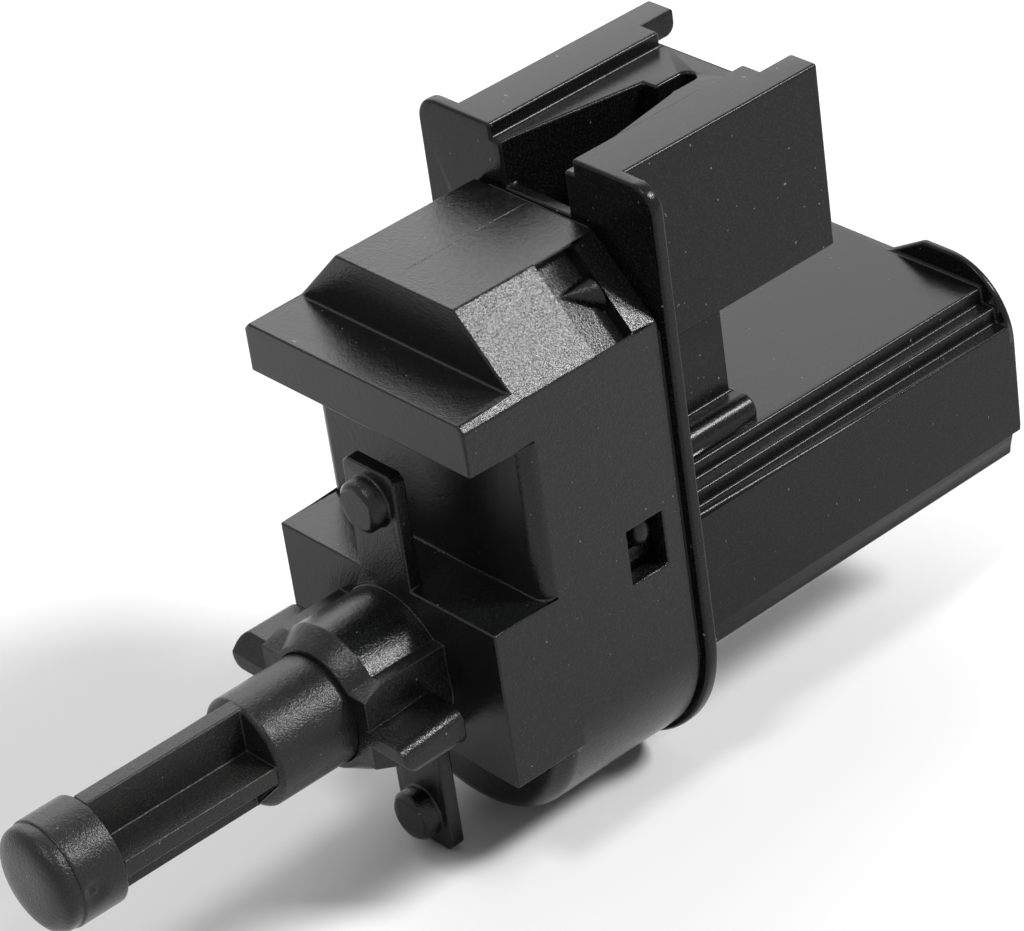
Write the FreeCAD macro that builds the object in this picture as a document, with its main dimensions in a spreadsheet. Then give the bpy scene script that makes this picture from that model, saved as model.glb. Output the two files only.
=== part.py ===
"""Clutch pedal switch: a sprung plunger in a two-part moulded housing with a bayonet collar.

Frame: origin on the plunger axis in the seat plane, +Y to the connector, +Z up, +X to the right.
The plunger points to -Y. Every length is in millimetres.
"""
import FreeCAD, Part
import math
import os
import Sketcher

DRIVING_SIZES = [
    ("body_half_width", 10.9, "front housing, half of its width"),
    ("body_front", 4.5, "front wall of the housing, behind the seat plane"),
    ("body_rear", 16.8, "joint face of the front housing"),
    ("top_level", 26.9, "flat top of the front housing"),
    ("top_half_width", 5.8, "half width of the flat top, between the side chamfers"),
    ("bottom_axis", -3.6, "height of the axis of the round bottom"),
    ("wall", 1.5, "moulded wall"),
    ("block_top", 6.45, "shelf on the lower front block"),
    ("block_bottom", -5.8, "underside of the lower front block"),
    ("ledge_rise", 0.5, "top of the upper ledge above the foot of the side chamfers"),
    ("ledge_thickness", 3.8, "upper ledge"),
    ("bottom_round", 1.2, "rounding of the lower front edge"),
    ("collar_radius", 5.45, "bayonet collar, outside"),
    ("collar_length", 7.0, "bayonet collar, ahead of the seat plane"),
    ("cone_length", 1.6, "conical nose of the collar, along the axis"),
    ("cone_depth", 0.95, "conical nose of the collar, drop in radius"),
    ("key_half_width", 5.3, "flat-topped key across the collar, half width"),
    ("key_half_height", 3.4, "flat-topped key across the collar, half height"),
    ("key_slope_length", 1.7, "sloped front of the key, along the axis"),
    ("key_slope_drop", 0.75, "sloped front of the key, down"),
    ("wing_reach", 8.8, "bayonet wing tip, from the axis"),
    ("wing_rear", 1.8, "rear of a wing, ahead of the seat plane"),
    ("wing_front", 7.1, "front of a wing, ahead of the seat plane"),
    ("wing_back_height", 0.8, "locking side of a wing at its rear"),
    ("wing_front_height", 0.4, "locking side of a wing at its front"),
    ("wing_nose", 0.75, "plain side of a wing at its nose"),
    ("wing_depth", 2.0, "plain side of a wing"),
    ("wing_slope_length", 1.2, "lead-in of a wing, along the axis"),
    ("wing_round", 0.9, "rounding of a wing tip"),
    ("arm_half_width", 2.55, "spring arm, half width"),
    ("arm_thickness", 1.1, "spring arm"),
    ("arm_reach", 15.2, "spring arm tip, from the axis"),
    ("arm_corner", 0.5, "bevel at the corners of an arm's tip"),
    ("pin_radius", 1.85, "detent pin"),
    ("pin_length", 1.35, "detent pin, ahead of the seat plane"),
    ("pin_height", 12.6, "detent pin, from the axis"),
    ("pin_edge", 0.3, "bevel on the end of a detent pin"),
    ("rod_radius", 4.0, "plunger guide"),
    ("running_gap", 0.05, "plunger guide in its bore, radial"),
    ("seal_seat_radius", 5.2, "seat of the plunger seal, in the front wall"),
    ("seal_seat_front", 3.0, "front of the seal seat"),
    ("seal_thickness", 1.5, "plunger seal, along the axis"),
    ("guide_front", 13.5, "front of the plunger guide, ahead of the seat plane"),
    ("rib_half_thickness", 0.7, "upright rib of the plunger"),
    ("rib_half_height", 3.9, "upright rib of the plunger"),
    ("web_half_thickness", 0.65, "level web of the plunger"),
    ("web_half_width", 3.65, "level web of the plunger"),
    ("rod_end", 26.0, "front of the cross-ribbed rod, ahead of the seat plane"),
    ("disc_thickness", 0.5, "disc on the rod's end, behind the cap"),
    ("disc_radius", 3.8, "disc on the rod's end"),
    ("cap_radius", 3.9, "tip cap, outside"),
    ("cap_shoulder", 29.2, "where the side of the cap starts to round"),
    ("cap_shoulder_round", 0.35, "rounding of the cap's shoulder"),
    ("cap_groove", 0.12, "groove between the cap's shoulder and its pad"),
    ("pad_radius", 3.65, "pad on the front of the cap"),
    ("pad_side", 0.4, "straight side of the pad"),
    ("pad_round", 0.55, "rounding of the pad's edge"),
    ("cap_tip", 31.05, "apex of the cap's pad, ahead of the seat plane"),
    ("cap_mark_place", 28.6, "moulded mark in the cap's side, ahead of the seat plane"),
    ("cap_mark_size", 0.8, "moulded mark in the cap's side"),
    ("cap_mark_depth", 0.35, "moulded mark in the cap's side"),
    ("cap_peg_radius", 1.6, "peg that carries the tip cap"),
    ("cap_peg_length", 2.6, "peg that carries the tip cap"),
    ("stroke", 9.0, "travel of the plunger"),
    ("window_front", 11.95, "front of the snap windows"),
    ("window_rear", 15.15, "rear of the snap windows"),
    ("window_low", 3.85, "bottom of the side windows"),
    ("window_high", 8.05, "top of the side windows"),
    ("pocket_front", 11.4, "front of the pockets in the top chamfers"),
    ("pocket_rear", 14.75, "rear of the pockets in the top chamfers"),
    ("pocket_depth", 1.6, "depth of the pockets, square to the chamfer"),
    ("pocket_margin", 0.15, "chamfer left beside a pocket"),
    ("cone_radius", 1.0, "snap cone in a chamfer pocket"),
    ("cone_bury", 1.45, "snap cone axis below the chamfer"),
    ("cone_shank", 13.9, "where the snap cone starts to taper"),
    ("cone_apex", 11.9, "apex of the snap cone"),
    ("snap_gap", 0.1, "clearance round a snap cone or a tongue"),
    ("slot_angle", 50.0, "lower snap slots, degrees below the horizontal"),
    ("slot_half_length", 1.3, "lower snap slots, half length round the bottom"),
    ("joint_gap", 0.3, "gap between the housings, filled by the gasket"),
    ("flange_thickness", 1.0, "flange of the rear housing"),
    ("flange_overhang", 0.5, "flange past the side of the front housing"),
    ("cradle_top", 31.35, "top of the clip cradle"),
    ("cradle_bottom", 17.6, "underside of the clip cradle"),
    ("cradle_rear", 35.5, "rear of the cradle's side plates"),
    ("lug_corner", 1.8, "rounded top corners of the lugs"),
    ("left_plate_rear", 33.0, "rear of the left side plate below its top tongue"),
    ("left_tongue_low", 29.5, "underside of the left plate's top tongue"),
    ("left_tongue_round", 0.9, "rounded end of the left plate's top tongue"),
    ("plate_inset", 2.85, "outer face of a side plate inside the housing's side"),
    ("plate_inner", 5.6, "inner face of a side plate behind the arms"),
    ("rail_inner", 4.0, "inner edge of a top rail"),
    ("rail_rear", 32.6, "rear end of the inner rail"),
    ("throat_step", 1.1, "cradle arms below the top rails"),
    ("throat_front_half", 3.1, "mouth of the throat, half width"),
    ("throat_rear_half", 1.28, "end of the throat, half width"),
    ("throat_end", 28.4, "where the throat meets its slot"),
    ("slot_left", -0.1, "left side of the throat slot"),
    ("slot_right", 1.2, "right side of the throat slot"),
    ("slot_rear", 31.2, "rear end of the throat slot"),
    ("arms_rear", 33.0, "rear of the cradle arms"),
    ("arm_wall", 1.2, "wall of a cradle arm beside the throat"),
    ("post_outer", 5.3, "outer face of a cradle post"),
    ("post_inner", 3.8, "inner face of a cradle post"),
    ("post_rear", 27.1, "rear of a cradle post"),
    ("foot_outer", 7.3, "outer side of a post's foot"),
    ("foot_height", 1.6, "height of a post's foot"),
    ("foot_rear", 27.6, "rear of a post's foot"),
    ("foot_round", 1.2, "rounding of a post's foot"),
    ("shroud_inset", 0.5, "connector shroud inside the housing's side"),
    ("shroud_top", 7.6, "flat top of the connector shroud"),
    ("shroud_bottom", -3.5, "seam above the bottom strip of the shroud"),
    ("shroud_step", 1.2, "each of the two steps along a top corner"),
    ("shroud_rear", 48.9, "rear end of the stepped corners"),
    ("strip_bottom", -5.1, "bottom strip of the shroud"),
    ("strip_rear", 48.4, "rear end of the bottom strip"),
    ("strip_inset", 0.12, "bottom strip inside the shroud's side"),
    ("rim_rear", 49.5, "rear of the connector mouth"),
    ("rim_rise", 1.8, "arched part of the rim above the shroud"),
    ("rim_arc", 5.6, "radius of the rim's arch"),
    ("rim_foot_left", -0.9, "where the arch starts on the top"),
    ("rim_crest_left", 2.45, "where the arch becomes level"),
    ("mouth_inset", 2.0, "inside of the shroud from the housing's side"),
    ("mouth_bottom", -3.2, "inside of the shroud, floor"),
    ("mouth_top", 6.1, "inside of the shroud, roof"),
    ("mouth_corner", 2.1, "bevel of the inside's top corners"),
    ("tongue_front", 7.4, "front of the contact tongues"),
    ("tongue_clearance", 0.25, "contact tongues inside the front housing's wall"),
    ("tongue_thickness", 1.1, "contact tongues"),
    ("tongue_top", 7.6, "top of a contact tongue"),
    ("tongue_bottom", -2.1, "bottom of a contact tongue"),
    ("nub_reach", 1.1, "snap nub of a tongue, past its outer face"),
    ("base_front", 28.0, "front of the terminal base"),
    ("base_rear", 34.0, "rear of the terminal base"),
    ("fit_gap", 0.05, "clearance of a fixed insert"),
    ("strip_thickness", 0.5, "contact strips"),
    ("strip_front", 8.0, "front of the contact strips"),
    ("upper_strip_low", 2.3, "lower edge of an upper contact strip"),
    ("upper_strip_high", 4.4, "upper edge of an upper contact strip"),
    ("lower_strip_low", -1.7, "lower edge of a lower contact strip"),
    ("lower_strip_high", 0.5, "upper edge of a lower contact strip"),
    ("blade_low", 1.0, "underside of the terminal blades"),
    ("blade_thickness", 0.8, "terminal blades"),
    ("blade_width", 2.8, "terminal blades"),
    ("blade_outer_inset", 2.9, "centre of an outer blade from the mouth's side"),
    ("blade_inner_place", 2.0, "centre of an inner blade"),
    ("blade_rear", 42.5, "tip of the terminal blades"),
    ("blade_bevel", 0.9, "bevel on a blade's tip"),
    ("carrier_front", 6.95, "front of the contact carrier at rest"),
    ("carrier_length", 6.0, "contact carrier, along the axis"),
    ("contact_room", 1.3, "contact carrier inside the wiping faces of the strips"),
    ("carrier_low", -3.0, "underside of the contact carrier"),
    ("carrier_high", 4.8, "top of the contact carrier"),
    ("spigot_radius", 1.9, "rear spigot of the plunger"),
    ("spigot_length", 2.0, "rear spigot of the plunger"),
    ("spring_radius", 1.75, "return spring, to the wire's middle"),
    ("spring_wire", 0.5, "return spring wire"),
    ("spring_turns", 9.0, "return spring, turns"),
    ("spring_seat_radius", 2.1, "spring seat in the carrier"),
    ("spring_seat_depth", 3.2, "spring seat in the carrier"),
    ("stand_radius", 2.2, "spring stand, its disc"),
    ("stand_plate", 0.8, "spring stand, thickness of its disc"),
    ("stand_pin_radius", 1.2, "spring stand, centre pin"),
    ("stand_pin_length", 4.6, "spring stand, length of its centre pin"),
    ("bridge_thickness", 0.5, "contact bridge"),
    ("bridge_margin", 0.9, "carrier beyond a bridge, along the axis"),
    ("tip_radius", 0.65, "contact tip"),
    ("tip_gap", 0.04, "contact tip to its strip"),
    ("push_radius", 0.8, "contact spring, to the wire's middle"),
    ("push_wire", 0.25, "contact spring wire"),
    ("push_turns", 4.0, "contact spring, turns"),
    ("push_seat", 4.4, "bottom of the contact spring's hole, from the axis"),
    ("push_seat_radius", 1.05, "hole of a contact spring"),
    ("bumper_thickness", 0.85, "rubber bumper on the carrier"),
    ("bumper_outer", 5.6, "rubber bumper, outside"),
    ("bumper_inner", 4.6, "rubber bumper, inside"),
    ("gasket_inset", 0.27, "gasket inside the housing's outline"),
    ("gasket_chamfer_inset", 0.9, "gasket inside the top chamfers, where the snap cones pass"),
]


class Length:
    """A length with its value in mm and the spreadsheet expression that gives it."""

    def __init__(self, value, text):
        self.value = value
        self.text = text

    def _join(self, other, sign, value, swap=False):
        right = other.text if isinstance(other, Length) else repr(float(other))
        pair = (right, self.text) if swap else (self.text, right)
        return Length(value, "(%s %s %s)" % (pair[0], sign, pair[1]))

    def __add__(self, other):
        return self._join(other, "+", self.value + number(other))

    def __sub__(self, other):
        return self._join(other, "-", self.value - number(other))

    def __mul__(self, other):
        return self._join(other, "*", self.value * number(other))

    def __truediv__(self, other):
        return self._join(other, "/", self.value / number(other))

    def __rsub__(self, other):
        return self._join(other, "-", number(other) - self.value, swap=True)

    def __neg__(self):
        return Length(-self.value, "(-1.0 * %s)" % self.text)

    __radd__ = __add__
    __rmul__ = __mul__


def number(length):
    """The value in mm of a Length or a plain number."""
    return length.value if isinstance(length, Length) else float(length)


def text(length):
    """The expression of a Length or a plain number."""
    return length.text if isinstance(length, Length) else repr(float(length))


def trig(angle, name):
    """Sine or cosine of an angle in degrees held by the sheet."""
    value = getattr(math, name)(math.radians(angle.value))
    return Length(value, "%s(%s * 1 deg)" % (name, angle.text))


doc = FreeCAD.newDocument("clutch_switch")
sheet = doc.addObject("Spreadsheet::Sheet", "Sizes")


class Sizes:
    """The driving sizes, one attribute for each row of the sheet."""


size = Sizes()
for row, (alias, amount, meaning) in enumerate(DRIVING_SIZES, start=1):
    sheet.set("A%d" % row, alias)
    sheet.set("B%d" % row, str(amount))
    sheet.set("C%d" % row, meaning)
    sheet.setAlias("B%d" % row, alias)
    setattr(size, alias, Length(amount, "Sizes." + alias))
doc.recompute()


class Arc:
    """A round stretch of an outline, from the last point to this end about a centre."""

    def __init__(self, end, centre, clockwise=False):
        self.end = end
        self.centre = centre
        self.clockwise = clockwise


class Piece:
    """One sub-part, a PartDesign body made of sketched features.

    Sketch planes: XY is seen as (X, Y), XZ as (X, Z) and YZ as (Y, Z).
    A feature runs from low to high along the axis square to its sketch.
    """

    def __init__(self, name):
        self.name = name
        self.count = 0
        self.body = doc.addObject("PartDesign::Body", name)
        self.body.Label = name
        self.body.Placement = FreeCAD.Placement()

    def _new(self, kind, word):
        self.count += 1
        return self.body.newObject(kind, "%s_%s_%d" % (self.name, word, self.count))

    def sketch(self, plane, offset, outlines):
        """A sketch on an origin plane, moved along the plane's normal by offset."""
        drawing = self._new("Sketcher::SketchObject", "sketch")
        origin = self.body.Origin.OriginFeatures
        drawing.AttachmentSupport = ([o for o in origin if o.Role == plane + "_Plane"][0], [""])
        drawing.MapMode = "FlatFace"
        drawing.setExpression("AttachmentOffset.Base.z", text(offset))
        for outline in outlines:
            if isinstance(outline, tuple):
                self._circle(drawing, *outline)
            else:
                self._outline(drawing, outline)
        return drawing

    def _pin(self, drawing, kind, amount, element, point):
        """Ties one coordinate of a sketch point to its expression."""
        axis = -2 if kind == "DistanceX" else -1
        if not isinstance(amount, Length) and amount == 0:
            drawing.addConstraint(Sketcher.Constraint("PointOnObject", element, point, axis))
            return
        index = drawing.addConstraint(Sketcher.Constraint(kind, -1, 1, element, point, number(amount)))
        if isinstance(amount, Length):
            drawing.setExpression("Constraints[%d]" % index, amount.text)

    def _circle(self, drawing, across, up, radius):
        middle = FreeCAD.Vector(number(across), number(up), 0)
        element = drawing.addGeometry(Part.Circle(middle, FreeCAD.Vector(0, 0, 1), number(radius)))
        self._pin(drawing, "DistanceX", across, element, 3)
        self._pin(drawing, "DistanceY", up, element, 3)
        index = drawing.addConstraint(Sketcher.Constraint("Radius", element, number(radius)))
        if isinstance(radius, Length):
            drawing.setExpression("Constraints[%d]" % index, radius.text)

    def _outline(self, drawing, steps):
        """A closed outline of straight runs and arcs, each corner tied to the sheet."""
        corners = [step.end if isinstance(step, Arc) else step for step in steps]
        elements = []
        for index, step in enumerate(steps):
            start = corners[index - 1]
            first = FreeCAD.Vector(number(start[0]), number(start[1]), 0)
            last = FreeCAD.Vector(number(corners[index][0]), number(corners[index][1]), 0)
            if isinstance(step, Arc):
                elements.append((self._arc(drawing, first, last, step), step.clockwise))
            else:
                elements.append((drawing.addGeometry(Part.LineSegment(first, last)), False))
        for index, (element, turned) in enumerate(elements):
            following, following_turned = elements[(index + 1) % len(elements)]
            end_point = 1 if turned else 2
            start_point = 2 if following_turned else 1
            drawing.addConstraint(
                Sketcher.Constraint("Coincident", element, end_point, following, start_point))
            self._pin(drawing, "DistanceX", corners[index][0], element, end_point)
            self._pin(drawing, "DistanceY", corners[index][1], element, end_point)

    def _arc(self, drawing, first, last, step):
        middle = FreeCAD.Vector(number(step.centre[0]), number(step.centre[1]), 0)
        circle = Part.Circle(middle, FreeCAD.Vector(0, 0, 1), (first - middle).Length)
        low, high = (last, first) if step.clockwise else (first, last)
        begin = math.atan2(low.y - middle.y, low.x - middle.x)
        end = math.atan2(high.y - middle.y, high.x - middle.x)
        if end <= begin:
            end += 2 * math.pi
        element = drawing.addGeometry(Part.ArcOfCircle(circle, begin, end))
        chord = last - first
        across = abs(chord.x) > abs(chord.y)
        kind = "DistanceY" if across else "DistanceX"
        self._pin(drawing, kind, step.centre[1] if across else step.centre[0], element, 3)
        return element

    def add(self, plane, outlines, low, high, cut=False, taper=0.0):
        """Adds or cuts the prism of the outlines between low and high."""
        flipped = plane == "XZ"
        drawing = self.sketch(plane, -high if flipped else low, outlines)
        kind = "Pocket" if cut else "Pad"
        feature = self._new("PartDesign::" + kind, kind.lower())
        feature.Profile = drawing
        feature.Type = 0
        feature.setExpression("Length", text(high - low))
        feature.Reversed = cut
        if taper:
            feature.TaperAngle = taper
        return self._check(feature)

    def cut(self, plane, outlines, low, high):
        return self.add(plane, outlines, low, high, cut=True)

    def turn(self, outlines, cut=False):
        """Turns outlines, drawn as (Y, radius), about the Y axis."""
        drawing = self.sketch("YZ", 0, outlines)
        kind = "Groove" if cut else "Revolution"
        feature = self._new("PartDesign::" + kind, kind.lower())
        feature.Profile = drawing
        feature.ReferenceAxis = (drawing, ["H_Axis"])
        feature.Angle = 360.0
        return self._check(feature)

    def dress(self, kind, amount, chosen):
        """Fillets or chamfers the edges for which chosen(edge) is true."""
        base = self.body.Tip
        edges = base.Shape.Edges
        names = ["Edge%d" % (i + 1) for i, edge in enumerate(edges) if chosen(edge)]
        feature = self._new("PartDesign::" + kind, kind.lower())
        feature.Base = (base, names)
        feature.setExpression("Radius" if kind == "Fillet" else "Size", text(amount))
        return self._check(feature)

    def _check(self, feature):
        """Recomputes, and stops if the feature failed or changed nothing."""
        before = self._volume
        self.body.Tip = feature
        doc.recompute()
        if "Invalid" in feature.State or "Error" in feature.State or feature.Shape.isNull():
            raise RuntimeError("%s failed: %s" % (feature.Name, feature.State))
        self._volume = feature.Shape.Volume
        if abs(self._volume - before) < 1e-6:
            raise RuntimeError("%s changed nothing" % feature.Name)
        return feature

    _volume = 0.0


def rectangle(left, low, right, high):
    """An outline with four square corners."""
    return [(left, low), (right, low), (right, high), (left, high)]


def mirrored(outline):
    """The outline seen in a mirror across the vertical axis, points only."""
    return [(-point[0], point[1]) for point in reversed(outline)]


def edge_box(edge):
    """Bounds of an edge, as (low corner, high corner)."""
    box = edge.BoundBox
    return (box.XMin, box.YMin, box.ZMin), (box.XMax, box.YMax, box.ZMax)


def near(amount, target):
    """True when a coordinate is the target, to a hundredth."""
    return abs(amount - number(target)) < 0.01


SIDES = (-1, 1)
joint_face = size.body_rear + size.joint_gap
flange_rear = joint_face + size.flange_thickness
flange_half = size.body_half_width + size.flange_overhang
chamfer_size = size.body_half_width - size.top_half_width
chamfer_low = size.top_level - chamfer_size
size.ledge_top = chamfer_low + size.ledge_rise
size.ledge_bottom = size.ledge_top - size.ledge_thickness
size.plate_outer = size.body_half_width - size.plate_inset
size.shroud_half_width = size.body_half_width - size.shroud_inset
size.mouth_half_width = size.body_half_width - size.mouth_inset
size.tongue_outer = size.body_half_width - size.wall - size.tongue_clearance
size.tongue_inner = size.tongue_outer - size.tongue_thickness
size.strip_outer = size.tongue_inner - size.fit_gap
size.strip_inner = size.strip_outer - size.strip_thickness
size.blade_outer_place = size.mouth_half_width - size.blade_outer_inset
size.carrier_half_width = size.strip_inner - size.contact_room
DIAGONAL = math.sqrt(0.5)


def body_outline(inset, chamfer_inset):
    """Cross-section of the front housing: round bottom, straight sides, chamfered top."""
    half = size.body_half_width - inset
    top = size.top_level - inset
    slope = (chamfer_inset - inset) * (1.0 / DIAGONAL - 1.0) + (chamfer_inset - inset)
    corner = chamfer_size - inset * (2.0 - 1.0 / DIAGONAL) + slope
    return [
        Arc((half, size.bottom_axis), (0, size.bottom_axis)),
        (half, top - corner),
        (half - corner, top),
        (corner - half, top),
        (-half, top - corner),
        (-half, size.bottom_axis),
    ]


def chamfer_middle(depth):
    """The point under the middle of a top chamfer, square to it by depth."""
    across = (size.body_half_width + size.top_half_width) / 2.0 - depth * DIAGONAL
    up = size.top_level - chamfer_size / 2.0 - depth * DIAGONAL
    return across, up


def build_front_housing():
    """The front housing: one moulding with seat block, ledge, collar, arms and snap windows."""
    piece = Piece("front_housing")
    half = size.body_half_width
    piece.add("XZ", [body_outline(0.0, 0.0)], size.body_front, size.body_rear)
    piece.dress("Fillet", size.bottom_round, lambda e: front_arc_edge(e))
    block = rectangle(-half, size.block_bottom, half, size.block_top)
    piece.add("XZ", [block], Length(0.0, "0.0"), size.body_front + size.wall)
    ledge_corner = size.ledge_top - chamfer_low
    ledge = [
        (-half, size.ledge_bottom), (half, size.ledge_bottom), (half, chamfer_low),
        (half - ledge_corner, size.ledge_top), (ledge_corner - half, size.ledge_top),
        (-half, chamfer_low),
    ]
    piece.add("XZ", [ledge], Length(0.0, "0.0"), size.body_front + size.wall)
    add_collar(piece)
    add_detent_arms(piece)
    piece.cut("XZ", [body_outline(size.wall, size.pocket_depth + size.wall)],
              size.body_front + size.wall, size.body_rear)
    bore = size.rod_radius + size.running_gap
    piece.cut("XZ", [(0, 0, bore)], -size.collar_length, size.body_front + size.wall)
    piece.cut("XZ", [(0, 0, size.seal_seat_radius)], size.seal_seat_front,
              size.body_front + size.wall)
    cut_snap_windows(piece)
    return piece


def front_arc_edge(edge):
    """The round edge between the front wall and the bottom."""
    low, high = edge_box(edge)
    return near(low[1], size.body_front) and near(high[1], size.body_front) and \
        low[2] < number(size.bottom_axis) - 1.0


def add_collar(piece):
    """Bayonet collar: a turned boss with a conical nose, a key across it and two wings."""
    nose = size.collar_length - size.cone_length
    inside = size.body_front
    piece.turn([[
        (inside, 0), (inside, size.collar_radius), (-nose, size.collar_radius),
        (-size.collar_length, size.collar_radius - size.cone_depth), (-size.collar_length, 0),
    ]])
    slope_start = size.collar_length - size.key_slope_length
    slope_height = size.key_half_height - size.key_slope_drop
    key = [
        (inside, size.key_half_height), (-slope_start, size.key_half_height),
        (-size.collar_length, slope_height), (-size.collar_length, -slope_height),
        (-slope_start, -size.key_half_height), (inside, -size.key_half_height),
    ]
    piece.add("YZ", [key], -size.key_half_width, size.key_half_width)
    for side in SIDES:
        wing = [
            (-size.wing_rear, side * size.wing_back_height),
            (-size.wing_front, side * size.wing_front_height),
            (-size.wing_front, side * -size.wing_nose),
            (-(size.wing_front - size.wing_slope_length), side * -size.wing_depth),
            (-size.wing_rear, side * -size.wing_depth),
        ]
        inner = size.key_half_width - size.wall / 2.0
        low, high = (inner, size.wing_reach) if side > 0 else (-size.wing_reach, -inner)
        piece.add("YZ", [wing], low, high)
    piece.dress("Fillet", size.wing_round, wing_tip_edge)


def wing_tip_edge(edge):
    """The long edges of a wing's tip that run along the plunger axis."""
    low, high = edge_box(edge)
    at_tip = near(low[0], size.wing_reach) or near(high[0], -size.wing_reach)
    return at_tip and near(low[0], high[0]) and high[1] - low[1] > number(size.wing_slope_length) + 0.5


def add_detent_arms(piece):
    """Two spring arms in the seat plane, above and below the block, each with a round pin."""
    half = size.arm_half_width
    reach = size.arm_reach
    bevel = size.arm_corner
    arms = [
        (half, -reach + bevel), (half, reach - bevel), (half - bevel, reach), (bevel - half, reach),
        (-half, reach - bevel), (-half, -reach + bevel), (bevel - half, -reach), (half - bevel, -reach),
    ]
    piece.add("XZ", [arms], Length(0.0, "0.0"), size.arm_thickness)
    pins = [(0, side * size.pin_height, size.pin_radius) for side in SIDES]
    piece.add("XZ", pins, -size.pin_length, size.arm_thickness / 2.0)
    piece.dress("Chamfer", size.pin_edge, lambda e: near(e.BoundBox.YMax, -size.pin_length))


def cut_snap_windows(piece):
    """Side windows, chamfer pockets with a bore for the snap cones, and the lower slots."""
    half = size.body_half_width
    window = rectangle(size.window_front, size.window_low, size.window_rear, size.window_high)
    piece.cut("YZ", [window], half - size.wall * 1.5, half + size.wall)
    piece.cut("YZ", [window], -(half + size.wall), size.wall * 1.5 - half)
    reach = chamfer_size / DIAGONAL / 2.0 - size.pocket_margin
    across, up = chamfer_middle(size.pocket_depth)
    high_across, high_up = chamfer_middle(-size.wall)
    step = reach * DIAGONAL
    pocket = [
        (across + step, up - step), (high_across + step, high_up - step),
        (high_across - step, high_up + step), (across - step, up + step),
    ]
    for outline in (pocket, mirrored(pocket)):
        piece.cut("XZ", [outline], size.pocket_front, size.pocket_rear)
    cone_across, cone_up = chamfer_middle(size.cone_bury)
    holes = [(side * cone_across, cone_up, size.cone_radius + size.snap_gap) for side in SIDES]
    piece.cut("XZ", holes, size.cone_apex - size.snap_gap * 3, size.body_rear)
    for side in SIDES:
        slot = lower_slot(side, size.body_half_width - size.wall * 1.5, half + size.wall, 0.0)
        piece.cut("XZ", [slot], size.window_front, size.window_rear)


def lower_slot(side, inner, outer, margin):
    """A rectangle square to the round bottom at the lower snap slots."""
    cosine = trig(size.slot_angle, "cos") * side
    sine = -trig(size.slot_angle, "sin")
    reach = size.slot_half_length - margin
    corners = []
    for radius, along in ((inner, -1), (outer, -1), (outer, 1), (inner, 1)):
        across = radius * cosine - along * (reach * sine)
        up = size.bottom_axis + radius * sine + along * (reach * cosine)
        corners.append((across, up))
    return corners


def mouth_outline(gap):
    """Inside of the connector shroud, less a gap on every side."""
    half = size.mouth_half_width - gap
    low = size.mouth_bottom + gap
    high = size.mouth_top - gap
    return [
        (-half, low), (half, low), (half, high - size.mouth_corner),
        (half - size.mouth_corner, high), (size.mouth_corner - half, high),
        (-half, high - size.mouth_corner),
    ]


def build_rear_housing():
    """The rear housing: one moulding with flange, clip cradle, shroud and snap tongues."""
    piece = Piece("rear_housing")
    corner = size.lug_corner
    top = size.cradle_top
    arm_top = top - size.throat_step
    rail = size.rail_inner
    mouth = size.throat_front_half
    floor = size.top_level
    flange = [
        Arc((flange_half, size.bottom_axis), (0, size.bottom_axis)),
        (flange_half, top - corner),
        Arc((flange_half - corner, top), (flange_half - corner, top - corner)),
        (rail, top), (rail, arm_top), (mouth, arm_top), (mouth, floor),
        (-mouth, floor), (-mouth, arm_top), (-rail, arm_top), (-rail, top),
        (corner - flange_half, top),
        Arc((-flange_half, top - corner), (corner - flange_half, top - corner)),
        (-flange_half, size.bottom_axis),
    ]
    piece.add("XZ", [flange], joint_face, flange_rear)
    add_cradle(piece)
    add_shroud(piece)
    add_cradle_posts(piece)
    piece.cut("XZ", [mouth_outline(0.0)], joint_face, size.rim_rear)
    add_tongues(piece)
    add_snap_cones(piece)
    return piece


def add_cradle(piece):
    """Clip cradle: side plates with top rails, and a throated web between them."""
    top = size.cradle_top
    low = size.cradle_bottom
    arm_top = top - size.throat_step
    inner = size.plate_inner
    web = rectangle(-inner, flange_rear, inner, size.arms_rear)
    piece.add("XY", [web], low, arm_top)
    for side in SIDES:
        near_edge, far_edge = side * inner, side * size.plate_outer
        plate = rectangle(near_edge, low, far_edge, top)
        piece.add("XZ", [plate if side > 0 else mirror_order(plate)], flange_rear, size.cradle_rear)
        rail = rectangle(side * size.rail_inner, arm_top, near_edge, top)
        piece.add("XZ", [rail if side > 0 else mirror_order(rail)], flange_rear, size.rail_rear)
    bend = size.left_tongue_round
    relief = [
        (size.left_plate_rear, low), (size.cradle_rear, low),
        (size.cradle_rear, size.left_tongue_low + bend),
        Arc((size.cradle_rear - bend, size.left_tongue_low),
            (size.cradle_rear - bend, size.left_tongue_low + bend), clockwise=True),
        (size.left_plate_rear, size.left_tongue_low),
    ]
    piece.cut("YZ", [relief], -size.plate_outer, -inner)
    slot_half = (size.slot_right - size.slot_left) / 2.0
    slot_middle = (size.slot_right + size.slot_left) / 2.0
    throat = [
        (-size.throat_front_half, flange_rear), (size.throat_front_half, flange_rear),
        (size.throat_rear_half, size.throat_end), (size.slot_right, size.throat_end),
        (size.slot_right, size.slot_rear - slot_half),
        Arc((size.slot_left, size.slot_rear - slot_half), (slot_middle, size.slot_rear - slot_half)),
        (size.slot_left, size.throat_end), (-size.throat_rear_half, size.throat_end),
    ]
    piece.cut("XY", [throat], low, arm_top)
    front_wall = size.throat_front_half + size.arm_wall
    rear_wall = size.throat_rear_half + size.arm_wall
    core = [
        (front_wall, flange_rear + size.wall), (inner, flange_rear + size.wall),
        (inner, size.arms_rear - size.wall), (rear_wall, size.arms_rear - size.wall),
        (rear_wall, size.throat_end),
    ]
    for outline in (core, mirrored(core)):
        piece.cut("XY", [outline], low, arm_top - size.wall)


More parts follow.
